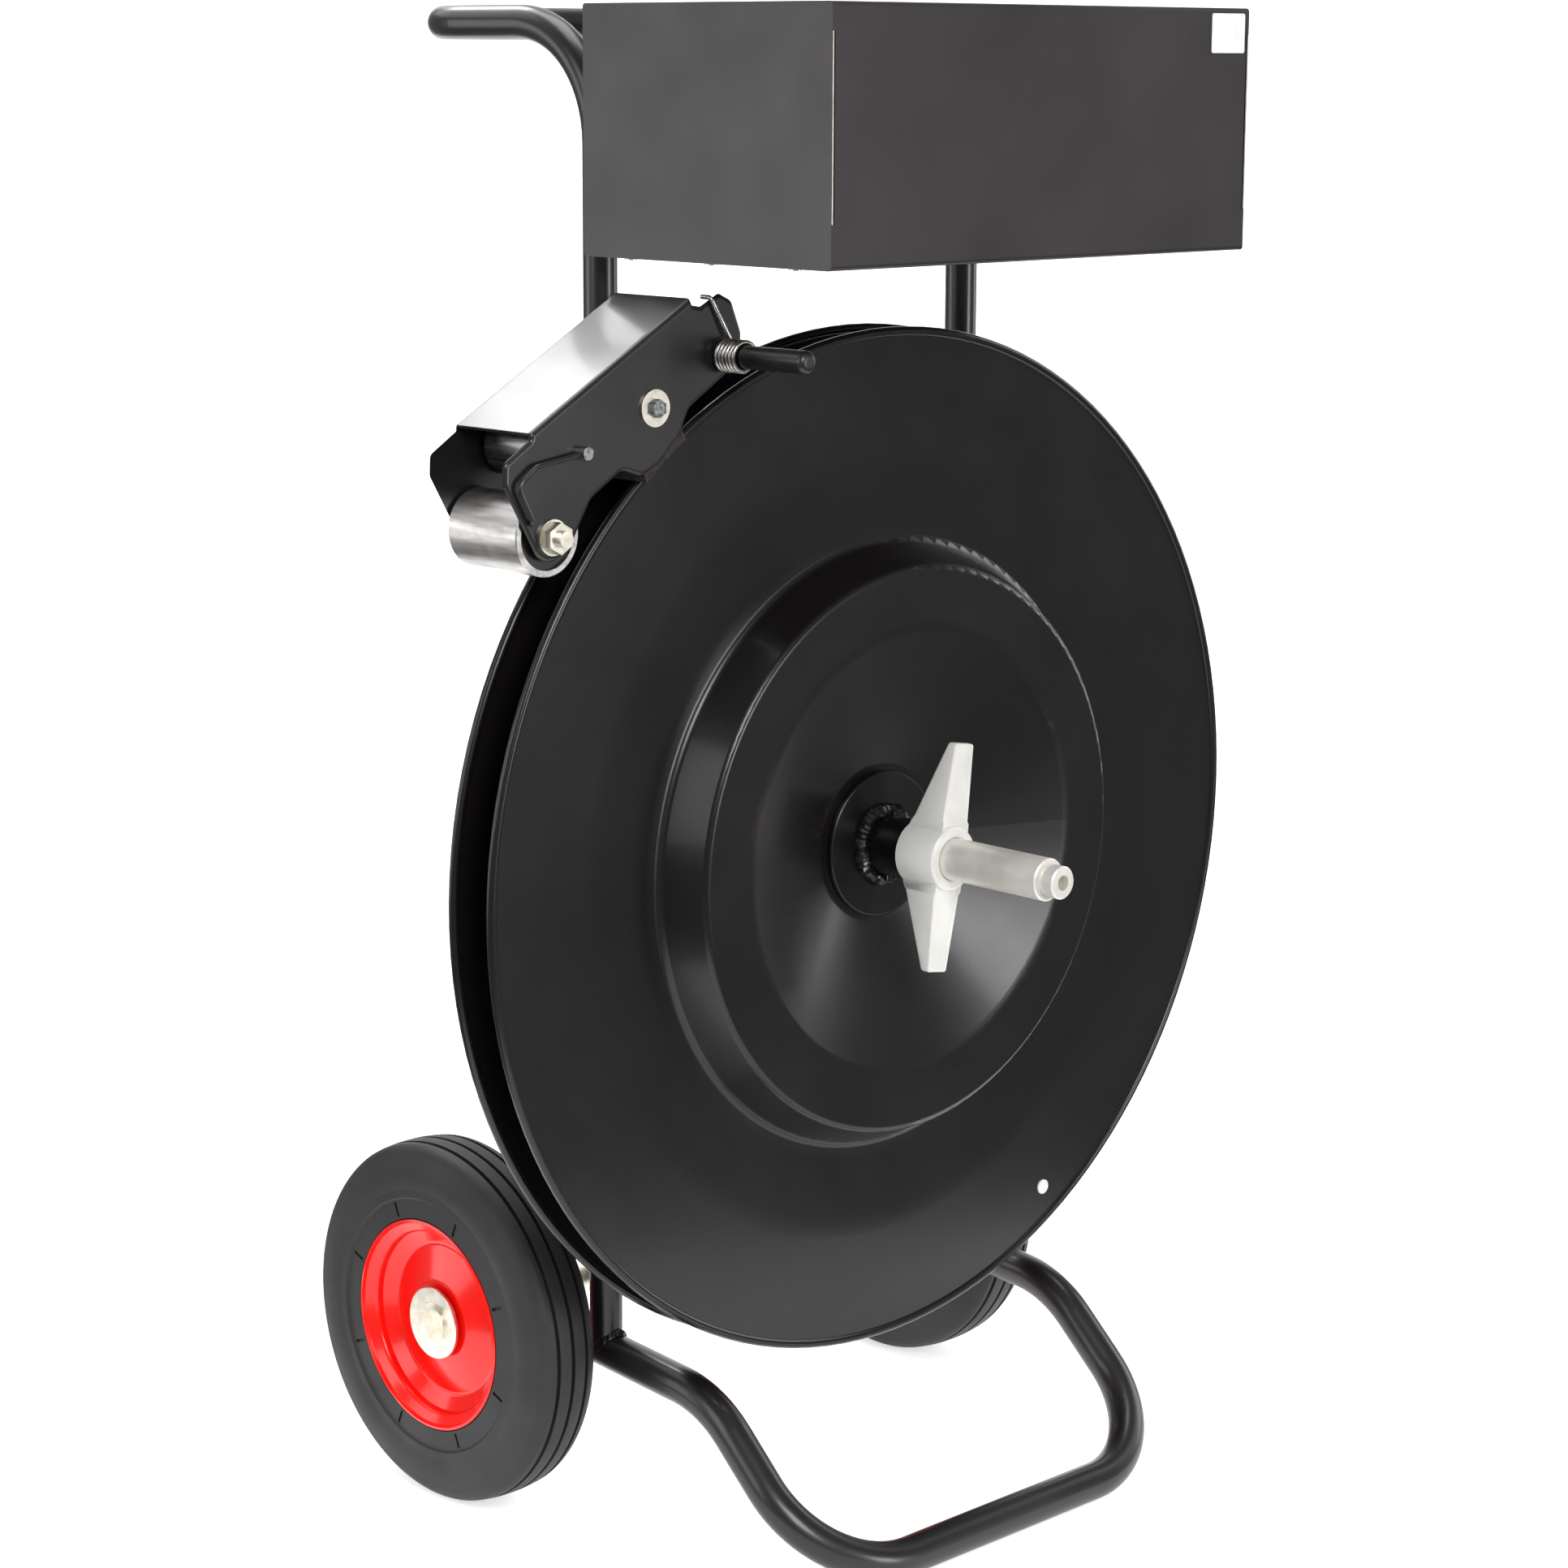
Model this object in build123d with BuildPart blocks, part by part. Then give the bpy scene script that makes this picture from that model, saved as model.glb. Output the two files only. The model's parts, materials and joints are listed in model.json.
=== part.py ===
from build123d import *
import math
import os

# Strapping coil dispenser cart, in millimetres.
# +Z is up, the floor is z = 0, the reel faces -Y and the wheel axle runs along X.

os.makedirs("parts", exist_ok=True)

# ---------------------------------------------------------------- driving dimensions
FIT = 0.05                # radial running clearance of shafts and pins
GAP = 0.3                 # clearance between faces that pass each other
SIDES = (("left", -1), ("right", 1))

# wheels: solid rubber on pressed steel
TYRE_R = 125.0
TYRE_HALF_W = 26.0
TREAD_GROOVES = (-12.0, 0.0, 12.0)
RIM_SEAT_R = 64.0         # middle of the rim's sheet under the tyre
RIM_LIP_R = 72.0
RIM_SHEET = 2.0
SIDEWALL_SLOTS = 8
SLOT_RING_R = 80.7
SLOT_L = 10.0
SLOT_W = 2.2
WHEEL_X = 216.0           # wheel centre planes
AXLE_Y = 115.0
AXLE_R = 10.0
HUB_OUT = 14.0            # hub tube ends, from the wheel's centre plane
HUB_IN = 24.0
HUB_TUBE_R = 16.0
HUB_BORE_R = 12.5
BUSH_FLANGE = 2.0
BIG_WASHER_R = 25.0
BIG_WASHER_T = 3.0
SMALL_WASHER_R = 14.0
SMALL_WASHER_T = 2.0
HUB_BOLT_R = 5.0
HUB_BOLT_L = 25.0
HUB_BOLT_HEAD = 17.0      # across flats
HUB_BOLT_HEAD_H = 6.0

# frame tubes
FRAME_X = 167.0
UPRIGHT_Y = 13.5
UPRIGHT_R = 11.0
FOOT_R = 12.5
WALL = 2.0
HANDLE_Z = 992.0
HANDLE_Y = 200.0
HANDLE_BENDS = [75.0, 50.0, 50.0, 75.0]
KNEE_Y = -90.0            # where the foot's leg turns down
KNEE_Z = 110.0
TOE_Y = -198.0
FOOT_BENDS = [83.0, 76.0, 76.0, 83.0]
LEG_END_Y = 140.0
CROSSBAR = 20.0
CARRIER_SPREAD = 55.0     # crossbars above and below the reel's axis
CARRIER_W = 110.0
CARRIER_SHEET = 6.0

# reel
REEL_Z = 455.5
FLANGE_R = 344.0
RIM_ROLL = 3.2
FRONT_RIM_Y = -82.5
FLANGE_STEP = 36.0        # distance between the two flanges
FLANGE_SHEET = 2.0
DRUM_H = 27.0             # how far the drum stands out from the rim
HUB_SINK = 8.0            # how far the hub's plane lies behind the rim
HANGING_R = 318.0         # hole by which the flange hangs while it is coated
HANGING_ANGLE = -59.5
HANGING_HOLE_R = 4.0
SPINDLE_R = 14.0
JOURNAL_R = 12.5
SPINDLE_TIP_Y = -240.0
NUB_R = 10.8
NUB_L = 9.0
NUB_GROOVE = 3.0
HUB_DISC_R = 49.0
HUB_DISC_T = 4.0
COLLAR_R = 20.0
FRONT_HUB_REAR_Y = -58.0
REAR_HUB_FRONT_Y = -53.0
REAR_HUB_REAR_Y = -27.0
HUB_PIN_R = 3.0
HUB_PIN_Y = -46.0

# bearings of the spindle
BEARING_R = 26.0
BEARING_W = 15.0
FRONT_BEARING_Y = -24.0   # front face
REAR_BEARING_Y = 36.0     # rear face
RACE = 2.5                # gap from the ball's pitch circle to each ring
BALL_R = 3.8
BALL_PITCH_R = 19.25
BALL_COUNT = 9
HOUSING_R = 32.0
HOUSING_FRONT_Y = -26.0
HOUSING_REAR_Y = 38.0
LOCK_WASHER_T = 2.0
LOCK_NUT_T = 8.0
LOCK_NUT_FLATS_R = 18.0

# wing nut
NUT_BACK_Y = -110.0
NUT_FRONT_Y = -145.0
NUT_TIP_T = 9.0           # thickness of the wings at their tips
NUT_HALF_SPAN = 76.5
NUT_HALF_W = 11.0
NUT_BOSS_R = 21.5
NUT_TILT = 9.0
NUT_INSERT_R = 17.5

# brake head, in its own frame: s runs along the channel and p across it, from the pivot
PIVOT_X = -166.0
PIVOT_Z = 791.0
HEAD_ANGLE = 30.0
HEAD_FAR_Y = -25.0
HEAD_NEAR_Y = -97.0
HEAD_SHEET = 2.0
WEB_P = -43.0
WEB_START_S = 3.0
WEB_END_S = 151.0
FOLD_R = 3.5
EAR_ROOT_P = -20.0        # the far plate ends here beside the web, without an ear
PIVOT_R = 6.0
PIVOT_TIP_Y = -176.0
SLEEVE_R = 7.2
SLEEVE_BACK_Y = -121.0
UPPER_ROLLER = (125.0, -12.0)
UPPER_ROLLER_R = 18.5
UPPER_AXLE_R = 4.0
LOWER_ROLLER = (169.0, 19.0)
LOWER_ROLLER_R = 24.5
LOWER_AXLE_R = 5.0
LOWER_AXLE_FLATS = 17.0
AXLE_STUB = 14.0
ROLLER_GAP = 2.0          # between a roller's end and the channel's wall
PLUG_L = 10.0
PLUG_RECESS = 3.0         # plug faces lie this far inside the roller tubes
BRAKE_BOLT = (62.0, -2.0)
BRAKE_BOLT_R = 3.0
BRAKE_BOLT_FLATS = 10.0
BRAKE_WASHER_R = 11.5
BRAKE_WASHER_T = 1.6
PAD_S = (48.0, 88.0)     # stretch of the channel that the brake block fills
PAD_TOP_P = -18.0
SPRING_R = 9.0
SPRING_WIRE_R = 1.5
SPRING_TURNS = 6
SPRING_BACK_Y = -101.2
SPRING_PITCH = 3.05
SPRING_LEG = 36.0
SPRING_HOOK = 8.0
SPRING_TAIL = 14.0
SPRING_BEND = 2.5
CLIP_WIRE_R = 1.6
CLIP_ROUTE = [(125, -12), (160, -26), (178, -24), (179, 2)]
CLIP_BENDS = [8, 7, 3]
CLIP_GAP = 4.0            # from the channel's near wall to the wire's middle

# toolbox
BOX_W = 380.0
BOX_D = 220.0
BOX_H = 155.0
BOX_Z = 848.0
BOX_SHEET = 1.5
BOX_HEM = 9.0
BOX_FLANGE = 14.0
BOX_BOLT_R = 3.0
RIVET_NUT_R = 4.5
RIVET_NUT_L = 10.0
BOX_BOLT_Z = (866.0, 906.0)
SEAM_GAP = 1.0            # open corner seam of the front panel
SEAM_LOW = 27.0
SEAM_HIGH = 138.0
BEND_ROOM = 2.5           # kept clear of the tray's bends
LABEL_W = 33.0
LABEL_H = 25.0
LABEL_T = 0.3

# ---------------------------------------------------------------- derived places
AXLE_Z = TYRE_R
HUB_WASHER = HUB_OUT + BUSH_FLANGE + GAP
AXLE_HALF = WHEEL_X + HUB_WASHER
LEG_SLOPE = (AXLE_Z - KNEE_Z) / (AXLE_Y - KNEE_Y)
LEG_END_Z = AXLE_Z + (LEG_END_Y - AXLE_Y) * LEG_SLOPE
BOX_BACK_Y = UPRIGHT_Y - UPRIGHT_R
BOX_FRONT_Y = BOX_BACK_Y - BOX_D
BOX_X = BOX_W / 2
REAR_RIM_Y = FRONT_RIM_Y + FLANGE_STEP
REEL_AXIS = Axis((0, 0, REEL_Z), (0, 1, 0))
GROOVE_Y = SPINDLE_TIP_Y + NUB_L
LOCK_NUT_Y = REAR_BEARING_Y + LOCK_WASHER_T + LOCK_NUT_T
BEARING_MIDDLES = (FRONT_BEARING_Y + BEARING_W / 2, REAR_BEARING_Y - BEARING_W / 2)
HEAD_IN_FAR = HEAD_FAR_Y - HEAD_SHEET
HEAD_IN_NEAR = HEAD_NEAR_Y + HEAD_SHEET
HEAD_INSIDE = HEAD_IN_FAR - HEAD_IN_NEAR
PIN_BORE_R = PIVOT_R + 2.0


def across(y, x=0.0, z=REEL_Z):
    """Plane across the reel's axis at y, facing the front: local x is X and local y is Z."""
    return Plane(origin=(x, y, z), x_dir=(1, 0, 0), z_dir=(0, -1, 0))


def head(y):
    """Plane across the brake head's pivot at y: local x is s and local y is p."""
    turn = math.radians(HEAD_ANGLE)
    return Plane(origin=(PIVOT_X, y, PIVOT_Z), x_dir=(-math.cos(turn), 0, -math.sin(turn)), z_dir=(0, -1, 0))


def outward(x, side, y=AXLE_Y, z=AXLE_Z):
    """Plane across the wheel axle at x, facing away from the cart on that side."""
    return Plane(origin=(x, y, z), x_dir=(0, side, 0), z_dir=(side, 0, 0))


def bent_bar(points, radii, outer_r, inner_r=0.0):
    """Round bar or tube swept along straight runs that are joined by arcs."""
    with BuildPart() as bar:
        with BuildLine() as route:
            FilletPolyline(*points, radius=radii)
        with BuildSketch(Plane(origin=route.line @ 0, z_dir=route.line % 0)):
            Circle(outer_r)
            if inner_r:
                Circle(inner_r, mode=Mode.SUBTRACT)
        sweep(path=route.line)
    return bar


def circles(shape, at_least):
    """Circular edges of a shape with at least this radius."""
    return shape.edges().filter_by(GeomType.CIRCLE).filter_by(lambda e: e.radius >= at_least)


def disc(plane, radius, thickness, bore=0.0):
    """Round plate standing on the plane, with a central hole."""
    with BuildPart() as plate:
        with BuildSketch(plane):
            Circle(radius)
            if bore:
                Circle(bore, mode=Mode.SUBTRACT)
        extrude(amount=thickness)
    return plate.part


def hexagon(plane, flats, thickness, bore=0.0):
    """Hexagonal nut or bolt head standing on the plane."""
    with BuildPart() as nut:
        with BuildSketch(plane):
            RegularPolygon(flats / 2, 6, major_radius=False)
            if bore:
                Circle(bore, mode=Mode.SUBTRACT)
        extrude(amount=thickness)
    return nut.part


# ================================================================ frame
foot_route = [
    (-FRAME_X, LEG_END_Y, LEG_END_Z),
    (-FRAME_X, KNEE_Y, KNEE_Z),
    (-FRAME_X, TOE_Y, FOOT_R),
    (FRAME_X, TOE_Y, FOOT_R),
    (FRAME_X, KNEE_Y, KNEE_Z),
    (FRAME_X, LEG_END_Y, LEG_END_Z),
]
foot_bar = bent_bar(foot_route, FOOT_BENDS, FOOT_R)

with BuildPart() as foot_loop:
    add(bent_bar(foot_route, FOOT_BENDS, FOOT_R, FOOT_R - WALL).part)
    add(disc(outward(-FRAME_X - FOOT_R, 1), AXLE_R + FIT, 2 * (FRAME_X + FOOT_R)), mode=Mode.SUBTRACT)
foot_loop.part.label = "foot_loop"
export_step(foot_loop.part, "parts/foot_loop.step")

with BuildPart() as foot_plugs:
    for side_name, side in SIDES:
        mouth = Plane(origin=(side * FRAME_X, LEG_END_Y, LEG_END_Z), z_dir=(0, 1, LEG_SLOPE))
        with BuildSketch(mouth):
            Circle(FOOT_R)
        extrude(amount=3.0)
        with BuildSketch(mouth):
            Circle(FOOT_R - WALL - FIT)
        extrude(amount=-8.0)
foot_plugs.part.label = "foot_plugs"
export_step(foot_plugs.part, "parts/foot_plugs.step")

upright_foot_z = AXLE_Z + (UPRIGHT_Y - AXLE_Y) * LEG_SLOPE
handle_route = [
    (-FRAME_X, UPRIGHT_Y, upright_foot_z),
    (-FRAME_X, UPRIGHT_Y, HANDLE_Z),
    (-FRAME_X, HANDLE_Y, HANDLE_Z),
    (FRAME_X, HANDLE_Y, HANDLE_Z),
    (FRAME_X, UPRIGHT_Y, HANDLE_Z),
    (FRAME_X, UPRIGHT_Y, upright_foot_z),
]
with BuildPart() as handle_loop:
    add(bent_bar(handle_route, HANDLE_BENDS, UPRIGHT_R, UPRIGHT_R - WALL).part)
    add(foot_bar.part, mode=Mode.SUBTRACT)
    for side_name, side in SIDES:
        for bolt_z in BOX_BOLT_Z:
            nut_plane = across(BOX_BACK_Y, side * FRAME_X, bolt_z)
            add(disc(nut_plane, RIVET_NUT_R, -UPRIGHT_R), mode=Mode.SUBTRACT)
handle_loop.part.label = "handle_loop"
export_step(handle_loop.part, "parts/handle_loop.step")

with BuildPart() as axle:
    with BuildSketch(outward(-AXLE_HALF, 1)):
        Circle(AXLE_R)
    extrude(amount=2 * AXLE_HALF)
    chamfer(axle.edges().filter_by(GeomType.CIRCLE), 1.0)
    for side_name, side in SIDES:
        add(disc(outward(side * AXLE_HALF, side), HUB_BOLT_R + FIT, -HUB_BOLT_L - 1), mode=Mode.SUBTRACT)
axle.part.label = "axle"
export_step(axle.part, "parts/axle.step")

spacer_start = FRAME_X + FOOT_R + GAP
spacer_end = WHEEL_X - HUB_IN - BUSH_FLANGE - GAP
with BuildPart() as axle_spacers:
    for side_name, side in SIDES:
        add(disc(outward(side * spacer_start, side), AXLE_R + 4, spacer_end - spacer_start, AXLE_R + FIT))
axle_spacers.part.label = "axle_spacers"
export_step(axle_spacers.part, "parts/axle_spacers.step")

with BuildPart() as wheel_washers:
    for side_name, side in SIDES:
        face = outward(side * AXLE_HALF, side)
        add(disc(face, BIG_WASHER_R, BIG_WASHER_T, HUB_BOLT_R + FIT))
    chamfer(circles(wheel_washers, BIG_WASHER_R), 0.6)
wheel_washers.part.label = "wheel_washers"
export_step(wheel_washers.part, "parts/wheel_washers.step")

with BuildPart() as wheel_bolts:
    for side_name, side in SIDES:
        face_x = AXLE_HALF + BIG_WASHER_T
        add(disc(outward(side * face_x, side), SMALL_WASHER_R, SMALL_WASHER_T))
        add(hexagon(outward(side * (face_x + SMALL_WASHER_T), side), HUB_BOLT_HEAD, HUB_BOLT_HEAD_H))
        add(disc(outward(side * face_x, side), HUB_BOLT_R, -HUB_BOLT_L))
wheel_bolts.part.label = "wheel_bolts"
export_step(wheel_bolts.part, "parts/wheel_bolts.step")


# ================================================================ wheels
def rim_half(flip):
    """Points of the dished half of a rim, from the lip to the hub tube, on one face of the wheel."""
    return [(flip * w, r) for w, r in ((12, RIM_SEAT_R), (5, 53), (HUB_OUT - 2, 28), (HUB_OUT - 2, HUB_TUBE_R))]


def wheel(side_name, side):
    """Tyre, rim and hub bushes of one wheel."""
    section = Plane(origin=(side * WHEEL_X, AXLE_Y, AXLE_Z), x_dir=(side, 0, 0), z_dir=(0, -side, 0))
    turning = Axis((side * WHEEL_X, AXLE_Y, AXLE_Z), (1, 0, 0))
    barrel = [(24.5, RIM_LIP_R), (21.5, RIM_LIP_R - 1), (17, RIM_SEAT_R)]
    barrel += [(-w, r) for w, r in reversed(barrel)]

    with BuildPart() as tyre:
        with BuildSketch(section):
            with BuildLine():
                seat = Polyline((0, RIM_SEAT_R + 1.3), (15.4, RIM_SEAT_R + 1.3), (20.4, RIM_LIP_R + 0.7))
                wall = Polyline(seat @ 1, (24, RIM_LIP_R + 1.8), (24, 87), (25.4, 88.5), (25.4, 94))
                ThreePointArc(wall @ 1, (TYRE_HALF_W, 104), (24.2, 114))
                shoulder = ThreePointArc((24.2, 114), (21.6, 120), (16.5, 123.6))
                ThreePointArc(shoulder @ 1, (8, 124.7), (0, TYRE_R))
                mirror(about=Plane.YZ)
            make_face()
            for groove in TREAD_GROOVES:
                with Locations((groove, TYRE_R)):
                    Rectangle(3.0, 7.0, mode=Mode.SUBTRACT)
        revolve(axis=turning)
        for face in (1, -1):
            with BuildSketch(outward(side * (WHEEL_X + face * 24), side * face)):
                with PolarLocations(SLOT_RING_R, SIDEWALL_SLOTS, start_angle=22.5):
                    Rectangle(SLOT_L, SLOT_W)
            extrude(amount=-1.6, mode=Mode.SUBTRACT)
    tyre.part.label = f"{side_name}_tyre"
    export_step(tyre.part, f"parts/{side_name}_tyre.step")

    with BuildPart() as rim:
        with BuildSketch(section):
            with BuildLine():
                FilletPolyline(*barrel, radius=[2, 3, 3, 2])
            trace(line_width=RIM_SHEET)
            for flip in (1, -1):
                with BuildLine():
                    FilletPolyline(*rim_half(flip), radius=[5, 8])
                trace(line_width=RIM_SHEET)
            with Locations(((HUB_OUT - HUB_IN) / 2, (HUB_TUBE_R + HUB_BORE_R) / 2)):
                Rectangle(HUB_OUT + HUB_IN, HUB_TUBE_R - HUB_BORE_R)
        revolve(axis=turning)
    rim.part.label = f"{side_name}_rim"
    export_step(rim.part, f"parts/{side_name}_rim.step")

    with BuildPart() as bushes:
        for end, face in ((HUB_OUT, 1), (-HUB_IN, -1)):
            mouth = outward(side * (WHEEL_X + end), side * face)
            add(disc(mouth, HUB_TUBE_R, BUSH_FLANGE, AXLE_R + FIT))
            add(disc(mouth, HUB_BORE_R, -12.0, AXLE_R + FIT))
    bushes.part.label = f"{side_name}_hub_bushes"
    export_step(bushes.part, f"parts/{side_name}_hub_bushes.step")


for wheel_name, wheel_side in SIDES:
    wheel(wheel_name, wheel_side)


# ================================================================ reel carrier on the frame
def crossbar(z, name):
    """Square tube between the uprights, coped to them."""
    with BuildPart() as bar:
        with BuildSketch(outward(-FRAME_X, 1, UPRIGHT_Y, z)):
            RectangleRounded(CROSSBAR, CROSSBAR, 2.5)
            RectangleRounded(CROSSBAR - 2 * WALL, CROSSBAR - 2 * WALL, 0.8, mode=Mode.SUBTRACT)
        extrude(amount=2 * FRAME_X)
        for side_name, side in SIDES:
            upright = Plane(origin=(side * FRAME_X, UPRIGHT_Y, z - CROSSBAR))
            add(disc(upright, UPRIGHT_R, 2 * CROSSBAR), mode=Mode.SUBTRACT)
    bar.part.label = name
    export_step(bar.part, f"parts/{name}.step")


crossbar(REEL_Z + CARRIER_SPREAD, "upper_crossbar")
crossbar(REEL_Z - CARRIER_SPREAD, "lower_crossbar")

with BuildPart() as carrier_plate:
    with BuildSketch(across(UPRIGHT_Y - CROSSBAR / 2)):
        RectangleRounded(CARRIER_W, 2 * CARRIER_SPREAD + CROSSBAR, 10)
        Circle(HOUSING_R, mode=Mode.SUBTRACT)
    extrude(amount=CARRIER_SHEET)
carrier_plate.part.label = "carrier_plate"
export_step(carrier_plate.part, "parts/carrier_plate.step")

with BuildPart() as bearing_housing:
    add(disc(across(HOUSING_REAR_Y), HOUSING_R, HOUSING_REAR_Y - HOUSING_FRONT_Y, BEARING_R - 2))
    chamfer(circles(bearing_housing, HOUSING_R), 1.0)
    rear_seat = HOUSING_REAR_Y - REAR_BEARING_Y + BEARING_W
    front_seat = FRONT_BEARING_Y + BEARING_W - HOUSING_FRONT_Y
    add(disc(across(HOUSING_REAR_Y), BEARING_R, rear_seat), mode=Mode.SUBTRACT)
    add(disc(across(HOUSING_FRONT_Y), BEARING_R, -front_seat), mode=Mode.SUBTRACT)
bearing_housing.part.label = "bearing_housing"
export_step(bearing_housing.part, "parts/bearing_housing.step")


def bearing_rings(inner_r, outer_r, name):
    """The same ring of both ball bearings, with its ball groove."""
    with BuildPart() as rings:
        for middle in BEARING_MIDDLES:
            with BuildSketch(Plane.XY.offset(REEL_Z)):
                with Locations(((inner_r + outer_r) / 2, middle)):
                    Rectangle(outer_r - inner_r, BEARING_W)
                with Locations((BALL_PITCH_R, middle)):
                    Circle(BALL_R + GAP, mode=Mode.SUBTRACT)
            revolve(axis=REEL_AXIS)
    rings.part.label = name
    export_step(rings.part, f"parts/{name}.step")


bearing_rings(JOURNAL_R, BALL_PITCH_R - RACE, "bearing_inner_rings")
bearing_rings(BALL_PITCH_R + RACE, BEARING_R, "bearing_outer_rings")

with BuildPart() as bearing_balls:
    for middle in BEARING_MIDDLES:
        with Locations(across(middle)):
            with PolarLocations(BALL_PITCH_R, BALL_COUNT):
                Sphere(BALL_R)
bearing_balls.part.label = "bearing_balls"
export_step(bearing_balls.part, "parts/bearing_balls.step")

# ================================================================ reel
spindle_steps = [
    (LOCK_NUT_Y + 2, JOURNAL_R, FRONT_BEARING_Y),
    (FRONT_BEARING_Y, SPINDLE_R, GROOVE_Y + NUB_GROOVE),
    (GROOVE_Y + NUB_GROOVE, NUB_R - 1.2, GROOVE_Y),
    (GROOVE_Y, NUB_R, SPINDLE_TIP_Y),
]
with BuildPart() as spindle:
    for rear_y, radius, front_y in spindle_steps:
        add(disc(across(rear_y), radius, rear_y - front_y))
    front_edges = [circles(spindle, radius).sort_by(Axis.Y)[0] for radius in (SPINDLE_R, NUB_R)]
    chamfer(front_edges, 1.0)
    with BuildSketch(across(SPINDLE_TIP_Y)):
        Circle(5.0)
    extrude(amount=-10.0, mode=Mode.SUBTRACT)
    add(disc(outward(-COLLAR_R, 1, HUB_PIN_Y, REEL_Z), HUB_PIN_R, 2 * COLLAR_R), mode=Mode.SUBTRACT)
spindle.part.label = "spindle"
export_step(spindle.part, "parts/spindle.step")

with BuildPart() as bearing_spacer:
    sleeve_l = REAR_BEARING_Y - FRONT_BEARING_Y - 2 * BEARING_W
    add(disc(across(REAR_BEARING_Y - BEARING_W), JOURNAL_R + 3, sleeve_l, JOURNAL_R + FIT))
bearing_spacer.part.label = "bearing_spacer"
export_step(bearing_spacer.part, "parts/bearing_spacer.step")

with BuildPart() as spindle_washer:
    add(disc(across(REAR_BEARING_Y + LOCK_WASHER_T), JOURNAL_R + 4, LOCK_WASHER_T, JOURNAL_R + FIT))
spindle_washer.part.label = "spindle_washer"
export_step(spindle_washer.part, "parts/spindle_washer.step")

with BuildPart() as spindle_lock_nut:
    add(hexagon(across(LOCK_NUT_Y), 2 * LOCK_NUT_FLATS_R, LOCK_NUT_T, JOURNAL_R))
spindle_lock_nut.part.label = "spindle_lock_nut"
export_step(spindle_lock_nut.part, "parts/spindle_lock_nut.step")

# section of a flange from its rim to its hub: distance from the axis, and depth behind the rim
PRESSING = [
    (FLANGE_R - RIM_ROLL, 0),
    (262, 0),
    (213, 3),
    (203, 3),
    (189, -DRUM_H),
    (150, -DRUM_H),
    (52, HUB_SINK),
    (COLLAR_R + FIT, HUB_SINK),
]
PRESSING_BENDS = [200, 60, 7, 4, 22, 14]


def pressed_flange(rim_y, name):
    """Dished sheet-steel flange with a rolled rim and a drum step; rim_y is the rim's middle."""
    with BuildPart() as flange:
        with BuildSketch(Plane(origin=(0, rim_y, REEL_Z))):
            with BuildLine():
                FilletPolyline(*PRESSING, radius=PRESSING_BENDS)
            trace(line_width=FLANGE_SHEET)
            with Locations((FLANGE_R - RIM_ROLL, 0)):
                Circle(RIM_ROLL)
        revolve(axis=REEL_AXIS)
        with BuildSketch(across(rim_y + FLANGE_SHEET)):
            with PolarLocations(HANGING_R, 1, start_angle=HANGING_ANGLE):
                Circle(HANGING_HOLE_R)
        extrude(amount=2 * FLANGE_SHEET, mode=Mode.SUBTRACT)
    flange.part.label = name
    export_step(flange.part, f"parts/{name}.step")


pressed_flange(FRONT_RIM_Y, "front_flange")
pressed_flange(REAR_RIM_Y, "rear_flange")

# nylon plug that closes the hanging hole of the front flange
with BuildPart() as flange_plug:
    plug_face = across(FRONT_RIM_Y - FLANGE_SHEET / 2)
    for plug_r, plug_l in ((HANGING_HOLE_R + 1.2, 1.2), (HANGING_HOLE_R - FIT, -FLANGE_SHEET - 1.5)):
        with BuildSketch(plug_face):
            with PolarLocations(HANGING_R, 1, start_angle=HANGING_ANGLE):
                Circle(plug_r)
        extrude(amount=plug_l)
flange_plug.part.label = "flange_plug"
export_step(flange_plug.part, "parts/flange_plug.step")


def hub(disc_y, rear_y, front_y, bore_r):
    """Collar with a round foot disc, bored for the spindle; disc_y is the disc's rear face."""
    with BuildPart() as body:
        add(disc(across(rear_y), COLLAR_R, rear_y - front_y))
        add(disc(across(disc_y), HUB_DISC_R, HUB_DISC_T))
        fillet(circles(body, HUB_DISC_R), 1.2)
        add(disc(across(rear_y), bore_r, rear_y - front_y), mode=Mode.SUBTRACT)
    return body.part


with BuildPart() as front_hub:
    add(hub(FRONT_RIM_Y + HUB_SINK - FLANGE_SHEET / 2, FRONT_HUB_REAR_Y, NUT_BACK_Y + GAP, SPINDLE_R + FIT))
front_hub.part.label = "front_hub"
export_step(front_hub.part, "parts/front_hub.step")

with BuildPart() as rear_hub:
    rear_disc_y = REAR_RIM_Y + HUB_SINK + FLANGE_SHEET / 2 + HUB_DISC_T
    add(hub(rear_disc_y, REAR_HUB_REAR_Y, REAR_HUB_FRONT_Y, SPINDLE_R))
    add(disc(outward(-COLLAR_R, 1, HUB_PIN_Y, REEL_Z), HUB_PIN_R, 2 * COLLAR_R), mode=Mode.SUBTRACT)
rear_hub.part.label = "rear_hub"
export_step(rear_hub.part, "parts/rear_hub.step")

with BuildPart() as hub_pin:
    add(disc(outward(1 - COLLAR_R, 1, HUB_PIN_Y, REEL_Z), HUB_PIN_R, 2 * COLLAR_R - 2, HUB_PIN_R - 1.2))
hub_pin.part.label = "hub_pin"
export_step(hub_pin.part, "parts/hub_pin.step")

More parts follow.
